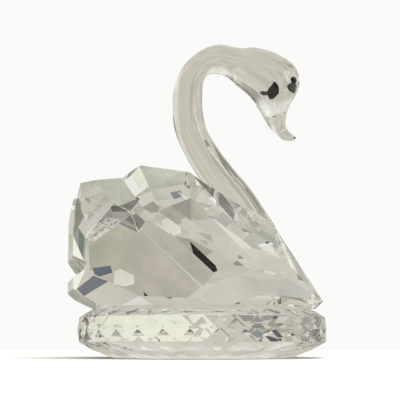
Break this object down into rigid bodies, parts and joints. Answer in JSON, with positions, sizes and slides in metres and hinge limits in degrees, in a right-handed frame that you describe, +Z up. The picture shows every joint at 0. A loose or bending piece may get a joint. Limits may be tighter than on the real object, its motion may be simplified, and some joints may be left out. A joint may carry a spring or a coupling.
{
  "type": "glass swan figurine",
  "caption": "Clear cut glass swan with a smooth S-shaped neck and small black eyes, standing on a round faceted glass base.",
  "frame": {"origin": "centre of the round base's flat underside", "axes": "+X is the way the swan faces, +Y is the swan's left, +Z is up"},
  "size_m": [0.0484, 0.046, 0.0605],
  "materials": {
    "cut_crystal": "clear crystal, facets ground flat and polished",
    "pressed_glass": "clear glass, pressed and fire polished smooth",
    "black_bead": "glossy black bead"
  },
  "bodies": {
    "root": {"round_base": "cut_crystal", "body_and_wings": "cut_crystal", "neck_and_head": "pressed_glass", "right_eye": "black_bead", "left_eye": "black_bead"}
  },
  "joints": []
}
